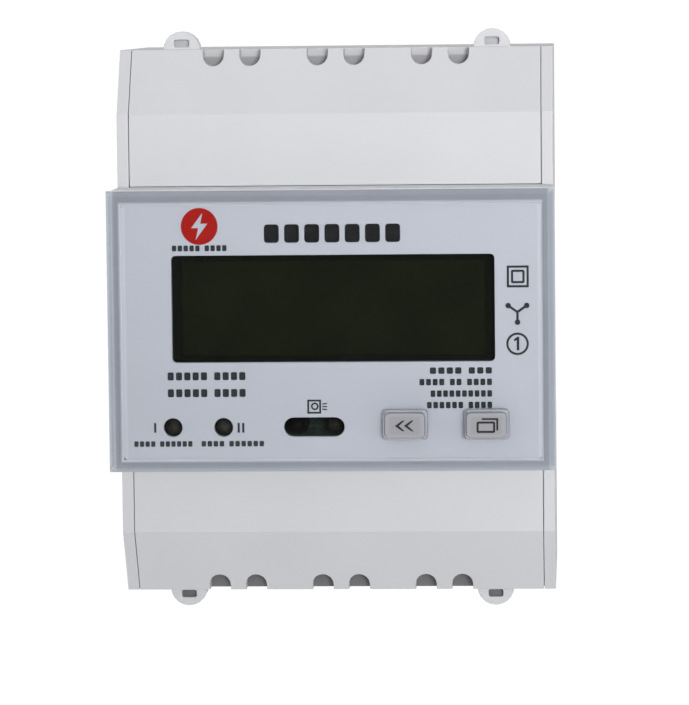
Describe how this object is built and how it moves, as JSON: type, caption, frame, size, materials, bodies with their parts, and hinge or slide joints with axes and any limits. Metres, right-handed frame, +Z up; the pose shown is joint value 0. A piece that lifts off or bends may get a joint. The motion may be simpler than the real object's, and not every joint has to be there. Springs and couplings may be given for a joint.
{
  "type": "electricity meter",
  "caption": "Light grey three-phase energy meter for a DIN rail, with a dark display behind a clear cover, keys, pulse lamps and covered terminals above and below.",
  "frame": {"origin": "middle of the face that seats on the DIN rail, at the middle of the width and height", "axes": "+Z up along the height, +Y towards the rail and the wall, so the front faces -Y, and +X to the right seen from the front"},
  "size_m": [0.0724, 0.065, 0.0978],
  "materials": {
    "housing_plastic": "fine matt moulded polycarbonate, light grey",
    "clear_plastic": "clear moulded polycarbonate, polished, faint blue tint",
    "faceplate_print": "printed film, pale blue grey, satin",
    "lcd_glass": "dark olive display glass",
    "white_plastic": "white light guide",
    "key_plastic": "grey key cap, satin",
    "lamp_red": "dark red lamp body, unlit",
    "lamp_dark": "near black infrared lamp body",
    "circuit_board": "green solder mask",
    "dark_plastic": "black moulded plastic",
    "capacitor_sleeve": "dark blue shrink sleeve",
    "block_plastic": "mid grey moulded polyamide",
    "latch_plastic": "dark grey moulded polyamide",
    "plated_steel": "zinc plated",
    "spring_steel": "drawn spring wire",
    "plated_brass": "nickel plated",
    "copper": null
  },
  "bodies": {
    "housing": {"base_housing": "housing_plastic", "front_housing": "housing_plastic", "clear_cover": "clear_plastic", "faceplate": "faceplate_print", "lcd_panel": "lcd_glass", "lcd_backlight": "white_plastic", "display_board": "circuit_board", "active_pulse_lamp": "lamp_red", "reactive_pulse_lamp": "lamp_red", "optical_emitter": "lamp_dark", "optical_receiver": "lamp_dark", "scroll_switch": "dark_plastic", "page_switch": "dark_plastic", "metering_board": "circuit_board", "board_screw_left": "plated_steel", "board_screw_right": "plated_steel", "supply_transformer": "dark_plastic", "supply_capacitor": "capacitor_sleeve", "backup_battery": "plated_steel", "board_header": "dark_plastic", "upper_terminal_block": "block_plastic", "lower_terminal_block": "block_plastic", "auxiliary_terminal": "block_plastic", "latch_spring": "spring_steel", "l1_busbar": "copper", "l1_current_transformer": "dark_plastic", "l2_busbar": "copper", "l2_current_transformer": "dark_plastic", "l3_busbar": "copper", "l3_current_transformer": "dark_plastic", "n_busbar": "copper"},
    "upper_cover": {"upper_terminal_cover": "housing_plastic"},
    "lower_cover": {"lower_terminal_cover": "housing_plastic"},
    "latch": {"rail_latch": "latch_plastic"},
    "scroll_key": {"scroll_key": "key_plastic"},
    "page_key": {"page_key": "key_plastic"},
    "upper_l1_screw": {"upper_l1_screw": "plated_steel"},
    "upper_l1_cage": {"upper_l1_cage": "plated_brass"},
    "upper_l2_screw": {"upper_l2_screw": "plated_steel"},
    "upper_l2_cage": {"upper_l2_cage": "plated_brass"},
    "upper_l3_screw": {"upper_l3_screw": "plated_steel"},
    "upper_l3_cage": {"upper_l3_cage": "plated_brass"},
    "upper_n_screw": {"upper_n_screw": "plated_steel"},
    "upper_n_cage": {"upper_n_cage": "plated_brass"},
    "lower_l1_screw": {"lower_l1_screw": "plated_steel"},
    "lower_l1_cage": {"lower_l1_cage": "plated_brass"},
    "lower_l2_screw": {"lower_l2_screw": "plated_steel"},
    "lower_l2_cage": {"lower_l2_cage": "plated_brass"},
    "lower_l3_screw": {"lower_l3_screw": "plated_steel"},
    "lower_l3_cage": {"lower_l3_cage": "plated_brass"},
    "lower_n_screw": {"lower_n_screw": "plated_steel"},
    "lower_n_cage": {"lower_n_cage": "plated_brass"},
    "auxiliary_screw_1": {"auxiliary_screw_1": "plated_steel"},
    "auxiliary_screw_2": {"auxiliary_screw_2": "plated_steel"},
    "auxiliary_screw_3": {"auxiliary_screw_3": "plated_steel"},
    "auxiliary_screw_4": {"auxiliary_screw_4": "plated_steel"},
    "auxiliary_screw_5": {"auxiliary_screw_5": "plated_steel"},
    "auxiliary_screw_6": {"auxiliary_screw_6": "plated_steel"}
  },
  "joints": [
    {"name": "upper_cover_pull", "type": "slide", "parent": "housing", "child": "upper_cover", "axis": [0, -1, 0], "range_m": [0, 0.014]},
    {"name": "lower_cover_pull", "type": "slide", "parent": "housing", "child": "lower_cover", "axis": [0, -1, 0], "range_m": [0, 0.014]},
    {"name": "rail_latch_slide", "type": "slide", "parent": "housing", "child": "latch", "axis": [0, 0, -1], "range_m": [0, 0.0045], "stiffness_N_per_m": 1200, "springref_m": -0.004, "deforming": ["latch_spring"]},
    {"name": "scroll_key_press", "type": "slide", "parent": "housing", "child": "scroll_key", "axis": [0, 1, 0], "range_m": [0, 0.0005], "stiffness_N_per_m": 1200, "springref_m": -0.0006},
    {"name": "page_key_press", "type": "slide", "parent": "housing", "child": "page_key", "axis": [0, 1, 0], "range_m": [0, 0.0005], "stiffness_N_per_m": 1200, "springref_m": -0.0006},
    {"name": "upper_l1_screw_turn", "type": "hinge", "parent": "housing", "child": "upper_l1_screw", "pos_m": [-0.026, -0.029, 0.033], "axis": [0, 1, 0], "range_deg": [0, 2880]},
    {"name": "upper_l1_cage_lift", "type": "slide", "parent": "housing", "child": "upper_l1_cage", "axis": [0, -1, 0], "range_m": [0, 0.0064]},
    {"name": "upper_l2_screw_turn", "type": "hinge", "parent": "housing", "child": "upper_l2_screw", "pos_m": [-0.00867, -0.029, 0.033], "axis": [0, 1, 0], "range_deg": [0, 2880]},
    {"name": "upper_l2_cage_lift", "type": "slide", "parent": "housing", "child": "upper_l2_cage", "axis": [0, -1, 0], "range_m": [0, 0.0064]},
    {"name": "upper_l3_screw_turn", "type": "hinge", "parent": "housing", "child": "upper_l3_screw", "pos_m": [0.00867, -0.029, 0.033], "axis": [0, 1, 0], "range_deg": [0, 2880]},
    {"name": "upper_l3_cage_lift", "type": "slide", "parent": "housing", "child": "upper_l3_cage", "axis": [0, -1, 0], "range_m": [0, 0.0064]},
    {"name": "upper_n_screw_turn", "type": "hinge", "parent": "housing", "child": "upper_n_screw", "pos_m": [0.026, -0.029, 0.033], "axis": [0, 1, 0], "range_deg": [0, 2880]},
    {"name": "upper_n_cage_lift", "type": "slide", "parent": "housing", "child": "upper_n_cage", "axis": [0, -1, 0], "range_m": [0, 0.0064]},
    {"name": "lower_l1_screw_turn", "type": "hinge", "parent": "housing", "child": "lower_l1_screw", "pos_m": [-0.026, -0.029, -0.033], "axis": [0, 1, 0], "range_deg": [0, 2880]},
    {"name": "lower_l1_cage_lift", "type": "slide", "parent": "housing", "child": "lower_l1_cage", "axis": [0, -1, 0], "range_m": [0, 0.0064]},
    {"name": "lower_l2_screw_turn", "type": "hinge", "parent": "housing", "child": "lower_l2_screw", "pos_m": [-0.00867, -0.029, -0.033], "axis": [0, 1, 0], "range_deg": [0, 2880]},
    {"name": "lower_l2_cage_lift", "type": "slide", "parent": "housing", "child": "lower_l2_cage", "axis": [0, -1, 0], "range_m": [0, 0.0064]},
    {"name": "lower_l3_screw_turn", "type": "hinge", "parent": "housing", "child": "lower_l3_screw", "pos_m": [0.00867, -0.029, -0.033], "axis": [0, 1, 0], "range_deg": [0, 2880]},
    {"name": "lower_l3_cage_lift", "type": "slide", "parent": "housing", "child": "lower_l3_cage", "axis": [0, -1, 0], "range_m": [0, 0.0064]},
    {"name": "lower_n_screw_turn", "type": "hinge", "parent": "housing", "child": "lower_n_screw", "pos_m": [0.026, -0.029, -0.033], "axis": [0, 1, 0], "range_deg": [0, 2880]},
    {"name": "lower_n_cage_lift", "type": "slide", "parent": "housing", "child": "lower_n_cage", "axis": [0, -1, 0], "range_m": [0, 0.0064]},
    {"name": "auxiliary_screw_1_turn", "type": "hinge", "parent": "housing", "child": "auxiliary_screw_1", "pos_m": [-0.02038, -0.036, -0.0362], "axis": [0, 1, 0], "range_deg": [0, 1080]},
    {"name": "auxiliary_screw_2_turn", "type": "hinge", "parent": "housing", "child": "auxiliary_screw_2", "pos_m": [-0.01428, -0.036, -0.0362], "axis": [0, 1, 0], "range_deg": [0, 1080]},
    {"name": "auxiliary_screw_3_turn", "type": "hinge", "parent": "housing", "child": "auxiliary_screw_3", "pos_m": [-0.00305, -0.036, -0.0362], "axis": [0, 1, 0], "range_deg": [0, 1080]},
    {"name": "auxiliary_screw_4_turn", "type": "hinge", "parent": "housing", "child": "auxiliary_screw_4", "pos_m": [0.00305, -0.036, -0.0362], "axis": [0, 1, 0], "range_deg": [0, 1080]},
    {"name": "auxiliary_screw_5_turn", "type": "hinge", "parent": "housing", "child": "auxiliary_screw_5", "pos_m": [0.01428, -0.036, -0.0362], "axis": [0, 1, 0], "range_deg": [0, 1080]},
    {"name": "auxiliary_screw_6_turn", "type": "hinge", "parent": "housing", "child": "auxiliary_screw_6", "pos_m": [0.02038, -0.036, -0.0362], "axis": [0, 1, 0], "range_deg": [0, 1080]}
  ],
  "couplings": [
    {"joint": "upper_l1_screw_turn", "follows": "upper_l1_cage_lift", "rad_per_m": 7854},
    {"joint": "upper_l2_screw_turn", "follows": "upper_l2_cage_lift", "rad_per_m": 7854},
    {"joint": "upper_l3_screw_turn", "follows": "upper_l3_cage_lift", "rad_per_m": 7854},
    {"joint": "upper_n_screw_turn", "follows": "upper_n_cage_lift", "rad_per_m": 7854},
    {"joint": "lower_l1_screw_turn", "follows": "lower_l1_cage_lift", "rad_per_m": 7854},
    {"joint": "lower_l2_screw_turn", "follows": "lower_l2_cage_lift", "rad_per_m": 7854},
    {"joint": "lower_l3_screw_turn", "follows": "lower_l3_cage_lift", "rad_per_m": 7854},
    {"joint": "lower_n_screw_turn", "follows": "lower_n_cage_lift", "rad_per_m": 7854}
  ]
}
